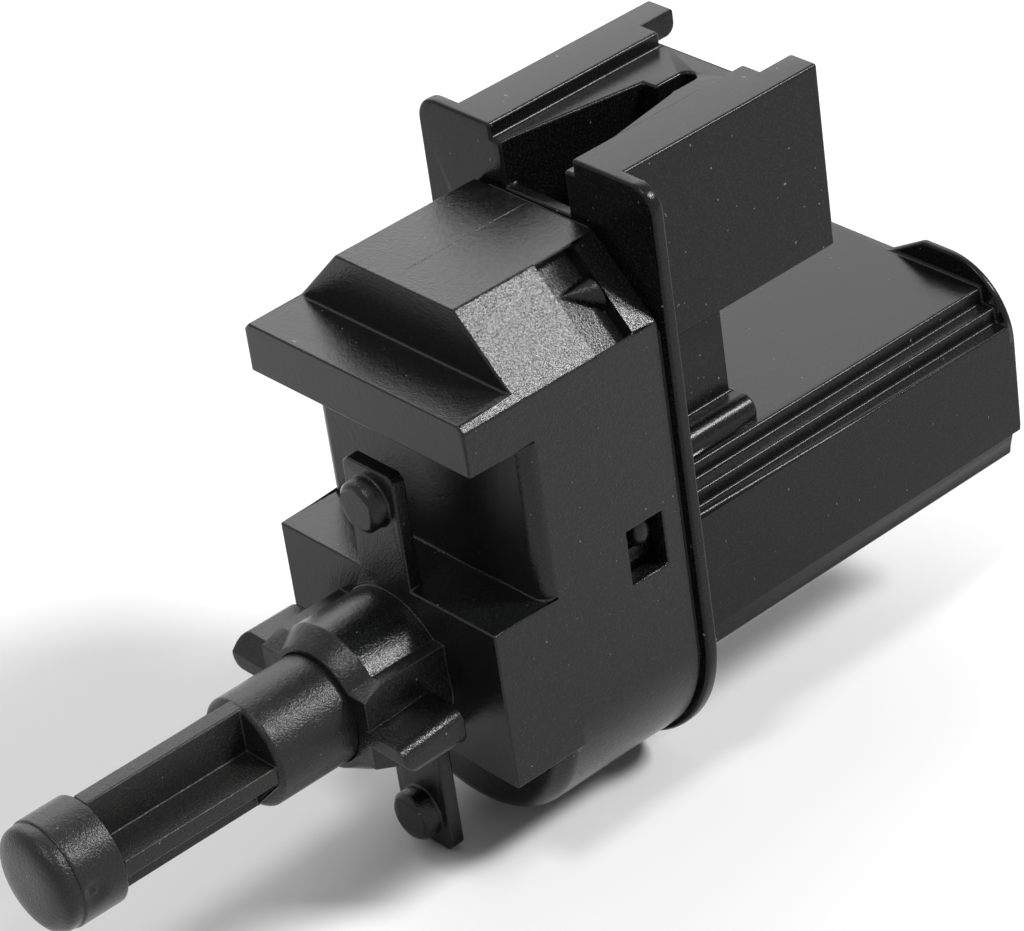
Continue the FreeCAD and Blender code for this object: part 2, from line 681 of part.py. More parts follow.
def mirror_order(outline):
    """The same outline run the other way round."""
    return list(reversed(outline))


def add_cradle_posts(piece):
    """Posts between the cradle and the shroud, each with a rounded foot outside it."""
    top = size.shroud_top
    foot_top = top + size.foot_height
    round_off = size.foot_round
    sunk = top - size.shroud_step
    for side in SIDES:
        post = rectangle(side * size.post_inner, sunk, side * size.post_outer,
                         size.cradle_bottom + size.wall)
        piece.add("XZ", [post if side > 0 else mirror_order(post)], flange_rear, size.post_rear)
        outer = side * size.foot_outer
        bend = side * (size.foot_outer - round_off)
        foot = [
            (side * size.post_inner, sunk), (outer, sunk), (outer, foot_top - round_off),
            Arc((bend, foot_top), (bend, foot_top - round_off), clockwise=side < 0),
            (side * size.post_inner, foot_top),
        ]
        piece.add("XZ", [foot], flange_rear, size.foot_rear)


def add_shroud(piece):
    """Connector shroud: stepped top corners, a bottom strip and an arched rear rim."""
    half = size.shroud_half_width
    top = size.shroud_top
    step = size.shroud_step
    low = size.shroud_bottom
    section = [
        (-half, low), (half, low), (half, top - step * 2), (half - step, top - step * 2),
        (half - step, top - step), (half - step * 2, top - step), (half - step * 2, top),
        (step * 2 - half, top), (step * 2 - half, top - step), (step - half, top - step),
        (step - half, top - step * 2), (-half, top - step * 2),
    ]
    piece.add("XZ", [section], flange_rear, size.shroud_rear)
    strip = rectangle(size.strip_inset - half, size.strip_bottom, half - size.strip_inset, low)
    piece.add("XZ", [strip], flange_rear, size.strip_rear)
    crest = top + size.rim_rise
    arc_across = half - size.rim_arc
    rim = [
        (-half, low), (half, low), (half, crest - size.rim_arc),
        Arc((arc_across, crest), (arc_across, crest - size.rim_arc)),
        (size.rim_crest_left, crest), (size.rim_foot_left, top), (step * 2 - half, top),
        (-half, top - step * 2),
    ]
    piece.add("XZ", [rim], size.shroud_rear, size.rim_rear)


def add_tongues(piece):
    """Side tongues that carry the contact strips and snap into the side windows."""
    inner = size.tongue_inner
    outer = size.tongue_outer
    floor_gap = size.mouth_corner + size.wall
    for side in SIDES:
        low, high = (inner, outer) if side > 0 else (-outer, -inner)
        front = rectangle(size.tongue_front, size.tongue_bottom, joint_face, size.tongue_top)
        piece.add("YZ", [front], low, high)
        guide_low, guide_high = low, high
        guide = rectangle(joint_face, size.tongue_bottom, size.base_front - size.fit_gap,
                          size.mouth_top - floor_gap)
        piece.add("YZ", [guide], guide_low, guide_high)
        low, high = (outer, outer + size.nub_reach) if side > 0 else (-outer - size.nub_reach, -outer)
        margin = size.snap_gap * 3
        nub = [
            (size.window_front + margin, size.window_low + margin * 2),
            (size.window_rear - margin, size.window_low + margin * 2),
            (size.window_rear - margin, size.tongue_top - margin),
            (size.window_front + margin, size.tongue_top - margin),
        ]
        piece.add("YZ", [nub], low, high)
        prong = lower_slot(side, size.body_half_width - size.wall * 2.2,
                           size.body_half_width - size.wall - size.snap_gap, size.snap_gap * 2)
        piece.add("XZ", [prong], size.window_front + margin, joint_face)
        hook = lower_slot(side, size.body_half_width - size.wall * 1.5,
                          size.body_half_width - size.snap_gap * 4, size.snap_gap * 2)
        piece.add("XZ", [hook], size.window_front + margin, size.window_rear - margin)


def add_snap_cones(piece):
    """Two pointed pins that run from the flange into the chamfer pockets."""
    across, up = chamfer_middle(size.cone_bury)
    shanks = [(side * across, up, size.cone_radius) for side in SIDES]
    piece.add("XZ", shanks, size.cone_shank, joint_face + size.flange_thickness / 2.0)
    for side in SIDES:
        cone = piece._new("PartDesign::AdditiveCone", "cone")
        cone.setExpression("Radius1", text(size.cone_radius))
        cone.Radius2 = 0.0
        cone.setExpression("Height", text(size.cone_shank - size.cone_apex))
        cone.Placement.Rotation = FreeCAD.Rotation(FreeCAD.Vector(1, 0, 0), 90)
        cone.setExpression("Placement.Base.x", text(side * across))
        cone.setExpression("Placement.Base.y", text(size.cone_shank))
        cone.setExpression("Placement.Base.z", text(up))
        piece._check(cone)


def build_plunger():
    """The plunger: a cross-ribbed rod, a round guide and a rear spigot for the carrier."""
    piece = Piece("plunger")
    rear = size.carrier_front
    piece.turn([[
        (-size.guide_front, 0), (-size.guide_front, size.rod_radius - size.pin_edge),
        (-size.guide_front + size.pin_edge, size.rod_radius), (rear, size.rod_radius),
        (rear, size.spigot_radius), (rear + size.spigot_length, size.spigot_radius),
        (rear + size.spigot_length, 0),
    ]])
    front = size.rod_end
    rib = rectangle(-size.rib_half_thickness, -size.rib_half_height,
                    size.rib_half_thickness, size.rib_half_height)
    piece.add("XZ", [rib], -front, -size.guide_front + size.wall)
    web = rectangle(-size.web_half_width, -size.web_half_thickness,
                    size.web_half_width, size.web_half_thickness)
    piece.add("XZ", [web], -front, -size.guide_front + size.wall)
    disc_front = front + size.disc_thickness
    piece.add("XZ", [(0, 0, size.disc_radius)], -disc_front, -front)
    piece.add("XZ", [(0, 0, size.cap_peg_radius)], -(disc_front + size.cap_peg_length), -disc_front)
    return piece


def build_plunger_cap():
    """The tip cap: a sleeve pressed on the plunger's peg, with a slightly domed pad in front."""
    piece = Piece("plunger_cap")
    rear = size.rod_end + size.disc_thickness
    peg_end = rear + size.cap_peg_length
    bend = size.cap_shoulder_round
    shoulder = size.cap_shoulder + bend
    pad = shoulder + size.cap_groove
    pad_edge = pad + size.pad_side
    face = pad_edge + size.pad_round
    flat = size.pad_radius - size.pad_round
    rise = size.cap_tip - face
    sphere = (flat * flat + rise * rise) / (rise * 2.0)
    piece.turn([[
        (-rear, size.cap_peg_radius),
        (-rear, size.cap_radius),
        (-size.cap_shoulder, size.cap_radius),
        Arc((-shoulder, size.cap_radius - bend), (-size.cap_shoulder, size.cap_radius - bend)),
        (-pad, size.cap_radius - bend),
        (-pad, size.pad_radius),
        (-pad_edge, size.pad_radius),
        Arc((-face, flat), (-pad_edge, flat)),
        Arc((-size.cap_tip, 0), (sphere - size.cap_tip, 0)),
        (-peg_end, 0),
        (-peg_end, size.cap_peg_radius),
    ]])
    half = size.cap_mark_size / 2.0
    mark = rectangle(-size.cap_mark_place - half, -half * 2.0, -size.cap_mark_place + half, half)
    piece.cut("YZ", [mark], size.cap_radius - size.cap_mark_depth, size.cap_radius)
    return piece


def carrier_middle():
    """Middle of the carrier along the plunger axis."""
    return size.carrier_front + size.carrier_length / 2.0


def bridge_middle():
    """Height of the middle of the contact bridges."""
    return (size.lower_strip_low + size.upper_strip_high) / 2.0


def build_contact_carrier():
    """The slider on the plunger's spigot, with a seat for each spring and contact bridge."""
    piece = Piece("contact_carrier")
    front = size.carrier_front
    rear = front + size.carrier_length
    block = rectangle(-size.carrier_half_width, size.carrier_low,
                      size.carrier_half_width, size.carrier_high)
    piece.add("XZ", [block], front, rear)
    piece.cut("XZ", [(0, 0, size.spigot_radius + size.fit_gap)], front,
              front + size.spigot_length + size.fit_gap)
    piece.cut("XZ", [(0, 0, size.spring_seat_radius)], rear - size.spring_seat_depth, rear)
    hole = [(carrier_middle(), bridge_middle(), size.push_seat_radius)]
    piece.cut("YZ", hole, size.push_seat, size.carrier_half_width)
    piece.cut("YZ", hole, -size.carrier_half_width, -size.push_seat)
    return piece


def build_stop_bumper():
    """The rubber ring that quiets the carrier's return against the front wall."""
    piece = Piece("stop_bumper")
    front = size.carrier_front - size.bumper_thickness
    ring = [(0, 0, size.bumper_outer), (0, 0, size.bumper_inner)]
    piece.add("XZ", [ring[0]], front, size.carrier_front)
    piece.cut("XZ", [ring[1]], front, size.carrier_front)
    return piece


def build_contact_bridge(name, side):
    """A flat bridge that joins the two contact strips on its side."""
    piece = Piece(name)
    front = size.carrier_front + size.bridge_margin
    rear = size.carrier_front + size.carrier_length - size.bridge_margin
    plate = rectangle(front, size.lower_strip_low, rear, size.upper_strip_high)
    inner = size.carrier_half_width + size.fit_gap
    outer = inner + size.bridge_thickness
    low, high = (inner, outer) if side > 0 else (-outer, -inner)
    piece.add("YZ", [plate], low, high)
    return piece


def build_contact_tips(name, side):
    """The two riveted tips of a contact bridge, one for each strip."""
    outer = size.strip_inner - size.tip_gap
    inner = size.carrier_half_width + size.fit_gap + size.bridge_thickness
    heights = [
        (size.lower_strip_low + size.lower_strip_high) / 2.0,
        (size.upper_strip_low + size.upper_strip_high) / 2.0,
    ]
    group = doc.addObject("Part::Compound", name)
    group.Label = name
    tips = []
    for index, height in enumerate(heights):
        tip = doc.addObject("Part::Cone", "%s_%d" % (name, index))
        tip.setExpression("Radius1", text(size.tip_radius))
        tip.setExpression("Radius2", text(size.tip_radius * 0.7))
        tip.setExpression("Height", text(outer - inner))
        tip.Placement.Rotation = FreeCAD.Rotation(FreeCAD.Vector(0, 1, 0), 90 * side)
        tip.setExpression("Placement.Base.x", text(side * inner))
        tip.setExpression("Placement.Base.y", text(carrier_middle()))
        tip.setExpression("Placement.Base.z", text(height))
        tips.append(tip)
    group.Links = tips
    doc.recompute()
    return group


def build_coil(name, radius, wire, turns, start, end, along, other):
    """A coil spring of round wire between two places on its axis.

    along is "Y" for the return spring or "X" for a contact spring; other is the pair of
    coordinates of the coil's axis in the plane square to it.
    """
    piece = Piece(name)
    free = end - start - wire
    if along == "Y":
        spin = FreeCAD.Rotation(FreeCAD.Vector(1, 0, 0), -90)
        places = (other[0], start + wire / 2.0, other[1])
    else:
        spin = FreeCAD.Rotation(FreeCAD.Vector(0, 1, 0), 90)
        places = (start + wire / 2.0, other[0], other[1])
    section = piece.sketch("XZ", 0, [(radius, 0, wire / 2.0)])
    coil = piece._new("PartDesign::AdditiveHelix", "helix")
    coil.Profile = section
    coil.ReferenceAxis = (section, ["V_Axis"])
    coil.Mode = 2
    coil.setExpression("Height", text(free))
    coil.setExpression("Turns", text(turns))
    piece._check(coil)
    piece.body.Placement = FreeCAD.Placement(FreeCAD.Vector(), spin)
    for axis, place in zip("xyz", places):
        piece.body.setExpression("Placement.Base." + axis, text(place))
    doc.recompute()
    return piece


def build_spring_stand():
    """The disc and pin on the terminal base that centre the return spring."""
    piece = Piece("spring_stand")
    rear = size.base_front
    face = rear - size.stand_plate
    piece.turn([[
        (rear, 0), (rear, size.stand_radius), (face, size.stand_radius),
        (face, size.stand_pin_radius), (face - size.stand_pin_length, size.stand_pin_radius),
        (face - size.stand_pin_length, 0),
    ]])
    return piece


def terminal_outlines(outer_pair, gap):
    """Boxes of one right-hand terminal as (plane, rectangle, low, high), grown by a gap."""
    middle = size.blade_outer_place if outer_pair else size.blade_inner_place
    half = size.blade_width / 2.0 + gap
    blade_top = size.blade_low + size.blade_thickness
    seat = size.base_front + size.bridge_thickness
    bar = size.blade_thickness
    strip_in = size.strip_inner - gap
    strip_out = size.strip_outer + gap
    if outer_pair:
        knee = seat + bar * 3
        low, high = size.upper_strip_low, size.upper_strip_high
        joint = rectangle(strip_in, size.blade_low - gap, strip_out, high + gap)
        level = rectangle(middle - half, size.blade_low - gap, strip_out, blade_top + gap)
    else:
        knee = seat
        low, high = size.lower_strip_low, size.lower_strip_high
        joint = rectangle(middle - half, high - bar - gap, strip_out, high + gap)
        level = rectangle(middle - half, high - bar - gap, middle + half, blade_top + gap)
    blade = rectangle(middle - half, size.blade_low - gap, middle + half, blade_top + gap)
    strip = rectangle(strip_in, low - gap, strip_out, high + gap)
    return [
        (strip, size.strip_front - gap, knee + bar + gap),
        (joint, knee - gap, knee + bar + gap),
        (level, knee - gap, knee + bar + gap),
        (blade, knee - gap, size.blade_rear + gap),
    ]


def build_terminal(name, outer_pair, side):
    """A stamped terminal: contact strip along the side wall, knee in the base, blade behind."""
    piece = Piece(name)
    for outline, low, high in terminal_outlines(outer_pair, 0.0):
        piece.add("XZ", [outline if side > 0 else mirrored(outline)], low, high)
    tip = number(size.blade_rear)
    bevel = size.blade_bevel / 3.0
    piece.dress("Chamfer", bevel, lambda e: near(e.BoundBox.YMin, tip))
    return piece


def build_terminal_base():
    """The insulating base that closes the shroud and holds the four terminals."""
    piece = Piece("terminal_base")
    piece.add("XZ", [mouth_outline(size.fit_gap)], size.base_front, size.base_rear)
    for side in SIDES:
        for outer_pair in (False, True):
            for outline, low, high in terminal_outlines(outer_pair, size.fit_gap):
                shape = outline if side > 0 else mirrored(outline)
                start = low if low.value > size.base_front.value else size.base_front
                end = high if high.value < size.base_rear.value else size.base_rear
                piece.cut("XZ", [shape], start, end)
    return piece


def build_housing_gasket():
    """The flat gasket in the gap between the two housings."""
    piece = Piece("housing_gasket")
    front = size.body_rear
    outline = body_outline(size.gasket_inset, size.gasket_chamfer_inset)
    piece.add("XZ", [outline], front, joint_face)
    piece.cut("XZ", [body_outline(size.wall, size.pocket_depth + size.wall)], front, joint_face)
    across, up = chamfer_middle(size.cone_bury)
    holes = [(side * across, up, size.cone_radius + size.snap_gap) for side in SIDES]
    piece.cut("XZ", holes, front, joint_face)
    return piece


def build_ring(name, inner, outer, front, rear):
    """A plain ring about the plunger axis."""
    piece = Piece(name)
    piece.turn([[(front, inner), (rear, inner), (rear, outer), (front, outer)]])
    return piece


def build_parts():
    """Every sub-part, in the order in which the switch goes together."""
    bore = size.rod_radius + size.running_gap
    seat = size.seal_seat_radius
    split = size.seal_seat_front + size.seal_thickness
    inner_wall = size.body_front + size.wall
    seat_floor = size.carrier_front + size.carrier_length - size.spring_seat_depth
    stand_face = size.base_front - size.stand_plate
    push_end = size.carrier_half_width + size.fit_gap
    pieces = [
        build_front_housing(),
        build_rear_housing(),
        build_plunger(),
        build_plunger_cap(),
        build_contact_carrier(),
        build_stop_bumper(),
        build_contact_bridge("contact_bridge_right", 1),
        build_contact_bridge("contact_bridge_left", -1),
        build_contact_tips("contact_tips_right", 1),
        build_contact_tips("contact_tips_left", -1),
        build_coil("contact_spring_right", size.push_radius, size.push_wire, size.push_turns,
                   size.push_seat, push_end, "X", (carrier_middle(), bridge_middle())),
        build_coil("contact_spring_left", size.push_radius, size.push_wire, size.push_turns,
                   -push_end, -size.push_seat, "X", (carrier_middle(), bridge_middle())),
        build_coil("return_spring", size.spring_radius, size.spring_wire, size.spring_turns,
                   seat_floor, stand_face, "Y", (0, 0)),
        build_spring_stand(),
        build_terminal_base(),
        build_terminal("terminal_1", True, -1),
        build_terminal("terminal_2", False, -1),
        build_terminal("terminal_3", False, 1),
        build_terminal("terminal_4", True, 1),
        build_housing_gasket(),
        build_ring("plunger_seal", bore, seat - size.fit_gap, size.seal_seat_front, split),
        build_ring("seal_retainer", bore + size.fit_gap, seat - size.fit_gap, split, inner_wall),
    ]
    return [piece.body if isinstance(piece, Piece) else piece for piece in pieces]


def write_parts(objects):
    """Checks every object of the document, then writes one file for each sub-part."""
    doc.recompute()
    for item in doc.Objects:
        if "Invalid" in item.State or "Error" in item.State:
            raise RuntimeError("%s is %s" % (item.Name, item.State))
    for item in objects:
        if item.Shape.isNull() or not item.Shape.isValid():
            raise RuntimeError("%s has no valid shape" % item.Label)
    os.makedirs("parts", exist_ok=True)
    for item in objects:
        item.Shape.exportStep("parts/%s.step" % item.Label)
        print("%-22s %2d solid  %9.2f mm3" % (item.Label, len(item.Shape.Solids), item.Shape.Volume))


write_parts(build_parts())
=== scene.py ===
"""Looks of the clutch pedal switch, laid out as a Blender add-on and run as a script."""

import math

import bmesh
import bpy
import numpy as np
from mathutils import Matrix, Vector


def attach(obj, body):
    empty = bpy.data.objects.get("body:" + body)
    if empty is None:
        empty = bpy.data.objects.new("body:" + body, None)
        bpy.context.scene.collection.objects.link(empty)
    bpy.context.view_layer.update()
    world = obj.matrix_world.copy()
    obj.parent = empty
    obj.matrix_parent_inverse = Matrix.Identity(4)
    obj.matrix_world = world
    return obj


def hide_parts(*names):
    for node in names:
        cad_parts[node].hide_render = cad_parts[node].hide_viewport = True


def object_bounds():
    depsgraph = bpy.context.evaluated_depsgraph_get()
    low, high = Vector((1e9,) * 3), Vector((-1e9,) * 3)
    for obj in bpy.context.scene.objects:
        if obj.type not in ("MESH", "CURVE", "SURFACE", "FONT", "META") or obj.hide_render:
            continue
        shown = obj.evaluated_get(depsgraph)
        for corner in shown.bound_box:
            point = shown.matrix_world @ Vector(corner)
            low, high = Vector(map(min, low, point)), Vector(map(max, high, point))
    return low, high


bl_info = {
    "name": "Clutch switch looks",
    "version": (1, 0, 0),
    "blender": (4, 5, 0),
    "location": "3D View > Sidebar > Switch",
    "description": "Dresses the packed clutch pedal switch with moulded plastic, rubber and metal",
    "category": "Object",
}

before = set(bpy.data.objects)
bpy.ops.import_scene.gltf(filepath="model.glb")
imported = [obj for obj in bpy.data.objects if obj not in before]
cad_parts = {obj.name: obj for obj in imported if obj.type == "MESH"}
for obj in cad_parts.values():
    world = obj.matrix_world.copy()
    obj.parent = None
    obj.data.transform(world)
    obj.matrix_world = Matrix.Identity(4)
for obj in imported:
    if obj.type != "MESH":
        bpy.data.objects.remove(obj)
CAD_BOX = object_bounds()
MM = 0.001
DIAGONAL = math.sqrt(0.5)

# Rounded edges. Angles are in degrees, and FACE_ROOM is in widths of the rounding.
SHARP_EDGE = 28.0
SHADING_BREAK = 35.0
ONE_FLAT = 0.6
FACE_ROOM = 1.8
COLLAR_EDGE = 0.07 * MM

# Places by CAD node, each (x, y, z, radius) in millimetres.
# Edges that end or lie at a crisp place stay sharp, the collar gets its own smaller rounding,
# and the faces round a pierced place aren't joined, because holes run through them.
CRISP_ENDS = {
    "front_housing": tuple((x, 5.0, -6.0, 1.2) for x in (3.2, -3.8, 10.0, -10.0)),
    "rear_housing": tuple((x, 13.5, 6.0, 1.6) for x in (9.0, -9.0)),
}
CRISP_MIDDLES = {
    "front_housing": tuple(
        (side * x, y, z, reach) for side in (-1, 1)
        for x, y, z, reach in ((5.85, 13.07, 26.85, 1.0), (10.85, 13.07, 21.85, 1.0),
                               (8.35, 11.4, 24.35, 0.6), (8.35, 14.75, 24.35, 0.6))),
}
COLLAR = {"front_housing": ((0.0, -6.0, 0.0, 9.0),)}
PIERCED = {
    "rear_housing": ((0.0, 49.5, 5.0, 14.0), (0.0, 33.0, -3.5, 8.0),
                     (9.0, 13.5, 6.0, 3.0), (-9.0, 13.5, 6.0, 3.0)),
}

# Chamfer pockets and the snap cones in them, in millimetres.
POCKET_ENDS = {"front_housing": (11.4, 14.75)}
POCKET_FRONT, POCKET_REAR, POCKET_HALF = 11.42, 14.74, 3.43
POCKET_X, POCKET_Z = 8.35, 24.35
POCKET_DEPTH, POCKET_RISE = 1.58, 0.11
CONE_APEX, CONE_RADIUS = 12.45, 1.4

# Side windows: the nub in each, and where the rear housing's hooks are set back to.
WINDOW_X, NUB_Y, NUB_Z, NUB_RADIUS = 9.3, 14.1, 6.6, 0.9
PIN_DROP = 1.1

# Plunger cap, in millimetres along and round the plunger's axis.
CAP_RADIUS, CAP_BACK, CAP_SHOULDER = 3.9, -26.0, -29.3
DOME_RADIUS, DOME_START, DOME_HEIGHT, DOME_POWER = 3.78, -29.55, 1.5, 3.6
MARK_Y = -28.5

# Stage: lamps as name, place, target and size in millimetres, and watts.
FLOOR_HALF, FLOOR_ROWS, FLOOR_GAP = 1.6, 49, 0.2 * MM
WORLD_WHITE = (1.0, 1.0, 1.0, 1.0)
WORLD_DIM, WORLD_SEEN = 0.2, 1.0
LAMPS = (
    ("key_right_back", (440, 432, 560), (0, 12, 10), (165, 165), 6.2),
    ("top_left", (-300, 195, 270), (0, 12, 12), (520, 340), 1.25),
    ("overhead_front", (115, -340, 690), (0, 0, 5), (150, 150), 1.7),
)
CAMERA_PLACE = (0.197216, -0.139399, 0.166859)
CAMERA_RIGHT = (0.6651, 0.7361, -0.1257)
CAMERA_BACK = (0.6700, -0.5137, 0.5360)
CAMERA_SENSOR, CAMERA_LENS, CAMERA_NEAR = 36.0, 155.24, 0.01


class SwitchSizes(bpy.types.PropertyGroup):
    """Lengths of the added surface detail."""
    housing_edge: bpy.props.FloatProperty(
        name="Front edge", description="Rounding of the front housing's moulded edges",
        default=0.16 * MM, min=0.0, unit="LENGTH", precision=5)
    rear_edge: bpy.props.FloatProperty(
        name="Rear edge", description="Rounding of the rear housing's edges",
        default=0.24 * MM, min=0.0, unit="LENGTH", precision=5)
    plunger_edge: bpy.props.FloatProperty(
        name="Plunger edge", description="Rounding of the plunger's edges",
        default=0.14 * MM, min=0.0, unit="LENGTH", precision=5)
    seam_width: bpy.props.FloatProperty(
        name="Seam width", description="Width of the raised mould parting lines",
        default=0.16 * MM, min=0.0, unit="LENGTH", precision=5)
    seam_height: bpy.props.FloatProperty(
        name="Seam height", description="Height of the mould parting lines above the surface",
        default=0.05 * MM, min=0.0, unit="LENGTH", precision=5)
    floor_drop: bpy.props.FloatProperty(
        name="Floor drop", description="Floor below the lowest point of the switch",
        default=0.0, unit="LENGTH")


class SwitchColours(bpy.types.PropertyGroup):
    """Colours of the finishes."""
    nylon: bpy.props.FloatVectorProperty(
        name="Nylon", description="Black glass-filled nylon of the housings",
        default=(0.0044, 0.0050, 0.0046), subtype="COLOR", size=3)
    nylon_pale: bpy.props.FloatVectorProperty(
        name="Nylon grain", description="Paler glass grain in the nylon",
        default=(0.016, 0.018, 0.016), subtype="COLOR", size=3)
    plunger: bpy.props.FloatVectorProperty(
        name="Plunger", description="Slightly paler plastic of the plunger",
        default=(0.0095, 0.0100, 0.0092), subtype="COLOR", size=3)
    natural: bpy.props.FloatVectorProperty(
        name="Natural plastic", description="Uncoloured plastic of the hidden carrier",
        default=(0.62, 0.58, 0.48), subtype="COLOR", size=3)
    rubber: bpy.props.FloatVectorProperty(
        name="Rubber", description="Seals, gasket and bumper",
        default=(0.012, 0.012, 0.012), subtype="COLOR", size=3)
    brass: bpy.props.FloatVectorProperty(
        name="Contact strip", description="Copper alloy of the contact bridges",
        default=(0.72, 0.50, 0.30), subtype="COLOR", size=3)
    tin: bpy.props.FloatVectorProperty(
        name="Tin plate", description="Tin plating of the terminals",
        default=(0.66, 0.66, 0.64), subtype="COLOR", size=3)
    floor: bpy.props.FloatVectorProperty(
        name="Floor", description="Plain floor and backdrop",
        default=(0.90, 0.90, 0.90), subtype="COLOR", size=3)


class Nodes:
    """Short ways to add and join the nodes of one material."""

    def __init__(self, name):
        self.material = bpy.data.materials.new(name)
        self.material.use_nodes = True
        self.tree = self.material.node_tree
        self.tree.nodes.clear()
        self.output = self.tree.nodes.new("ShaderNodeOutputMaterial")
        self.shader = self.tree.nodes.new("ShaderNodeBsdfPrincipled")
        self.join(self.shader.outputs["BSDF"], self.output.inputs["Surface"])
        self.place = self.tree.nodes.new("ShaderNodeTexCoord").outputs["Object"]

    def join(self, source, target):
        self.tree.links.new(source, target)

    def noise(self, scale, detail=3.0, roughness=0.5, stretch=None):
        """Noise on Object coordinates, with scale in cells per metre."""
        node = self.tree.nodes.new("ShaderNodeTexNoise")
        node.inputs["Scale"].default_value = scale
        node.inputs["Detail"].default_value = detail
        node.inputs["Roughness"].default_value = roughness
        source = self.place
        if stretch:
            mapping = self.tree.nodes.new("ShaderNodeMapping")
            mapping.inputs["Scale"].default_value = stretch
            self.join(self.place, mapping.inputs["Vector"])
            source = mapping.outputs["Vector"]
        self.join(source, node.inputs["Vector"])
        return node.outputs["Fac"]

    def ramp(self, source, stops):
        """A colour ramp through (place, grey or colour) stops."""
        node = self.tree.nodes.new("ShaderNodeValToRGB")
        while len(node.color_ramp.elements) < len(stops):
            node.color_ramp.elements.new(0.5)
        for element, (place, shade) in zip(node.color_ramp.elements, stops):
            element.position = place
            colour = shade if isinstance(shade, (tuple, list)) else (shade, shade, shade)
            element.color = (*colour, 1.0)
        self.join(source, node.inputs["Fac"])
        return node.outputs["Color"]

    def span(self, source, low, high):
        """Maps a noise's usual 0.25..0.75 to low..high."""
        node = self.tree.nodes.new("ShaderNodeMapRange")
        node.inputs["From Min"].default_value = 0.25
        node.inputs["From Max"].default_value = 0.75
        node.inputs["To Min"].default_value = low
        node.inputs["To Max"].default_value = high
        self.join(source, node.inputs["Value"])
        return node.outputs["Result"]

    def add(self, first, second, share=0.5):
        """A weighted sum of two heights."""
        node = self.tree.nodes.new("ShaderNodeMix")
        node.inputs["Factor"].default_value = share
        self.join(first, node.inputs["A"])
        self.join(second, node.inputs["B"])
        return node.outputs["Result"]

    def tint(self, share, under, colour):
        """A colour laid over another by a share."""
        node = self.tree.nodes.new("ShaderNodeMix")
        node.data_type = "RGBA"
        mixed = {socket.name: socket for socket in node.inputs if socket.type == "RGBA"}
        self.join(share, node.inputs["Factor"])
        self.join(under, mixed["A"])
        mixed["B"].default_value = (*colour, 1.0)
        return next(socket for socket in node.outputs if socket.type == "RGBA")

    def bump(self, height, strength, distance):
        """Raises the surface by a height, with distance in metres."""
        node = self.tree.nodes.new("ShaderNodeBump")
        node.inputs["Strength"].default_value = strength
        node.inputs["Distance"].default_value = distance
        self.join(height, node.inputs["Height"])
        self.join(node.outputs["Normal"], self.shader.inputs["Normal"])


def moulded_plastic(name, dark, pale, grain, rough, strength, specular=0.23):
    """Moulding: spark-eroded grain in height, colour and roughness, flow marks and rare dust."""
    n = Nodes(name)
    fine = n.noise(grain, 2.0, 0.55)
    mid = n.noise(grain * 0.33, 3.0, 0.6)
    broad = n.noise(220.0, 2.0, 0.5, (1.0, 0.35, 1.0))
    speck = n.ramp(fine, [(0.0, dark), (0.52, dark), (0.70, pale), (1.0, pale)])
    dust = n.ramp(n.noise(3300.0, 0.0), [(0.0, 0.0), (0.855, 0.0), (0.89, 0.6), (1.0, 0.6)])
    n.join(n.tint(dust, speck, (0.25, 0.25, 0.24)), n.shader.inputs["Base Color"])
    n.bump(n.add(fine, mid, 0.4), strength, 0.08 * MM)
    n.join(n.span(n.add(broad, mid, 0.5), rough[0], rough[1]), n.shader.inputs["Roughness"])
    n.shader.inputs["Specular IOR Level"].default_value = specular
    return n.material


def rubber(name, colour):
    """Moulded rubber: nearly black, rough, with a faint bloom."""
    n = Nodes(name)
    grain = n.noise(5200.0, 3.0, 0.6)
    bloom = n.noise(380.0, 3.0, 0.5)
    pale = tuple(c * 1.9 + 0.004 for c in colour)
    n.join(n.ramp(bloom, [(0.35, colour), (0.75, pale)]), n.shader.inputs["Base Color"])
    n.join(n.span(grain, 0.62, 0.85), n.shader.inputs["Roughness"])
    n.bump(grain, 0.35, 0.05 * MM)
    return n.material


def stamped_metal(name, colour, rough, lay=(1.0, 12.0, 1.0)):
    """Rolled and stamped strip: fine lines along the strip and slight tarnish."""
    n = Nodes(name)
    lines = n.noise(9000.0, 2.0, 0.5, tuple(1.0 / v for v in lay))
    tarnish = n.noise(420.0, 4.0, 0.6)
    dull = tuple(c * 0.72 for c in colour)
    n.join(n.ramp(tarnish, [(0.35, dull), (0.65, colour)]), n.shader.inputs["Base Color"])
    n.shader.inputs["Metallic"].default_value = 1.0
    n.join(n.span(lines, rough - 0.06, rough + 0.10), n.shader.inputs["Roughness"])
    n.bump(lines, 0.12, 0.03 * MM)
    return n.material


def mesh_object(name, points, faces):
    """An object at the origin with the given mesh."""
    mesh = bpy.data.meshes.new(name)
    mesh.from_pydata([tuple(p) for p in points], [], [tuple(int(i) for i in f) for f in faces])
    mesh.update()
    piece = bpy.data.objects.new(name, mesh)
    bpy.context.scene.collection.objects.link(piece)
    return piece


def grid_faces(rows, columns, closed=False):
    """Quads of a grid of rows by columns; closed joins the last column to the first."""
    i = np.arange(rows - 1)[:, None]
    j = np.arange(columns if closed else columns - 1)[None, :]
    k = (j + 1) % columns
    here, above = i * columns, (i + 1) * columns
    return np.stack([here + j, here + k, above + k, above + j], -1).reshape(-1, 4)


def depth_beside(edge, face):
    """How far a face reaches back from one of its edges."""
    start, end = (v.co for v in edge.verts)
    along = (end - start).normalized()
    return max(((v.co - start) - along * (v.co - start).dot(along)).length for v in face.verts)


def clear_of(points, places):
    """Whether every point lies outside every place (x, y, z, radius in millimetres)."""
    return all((point - Vector(place[:3]) * MM).length > place[3] * MM
               for point in points for place in places)


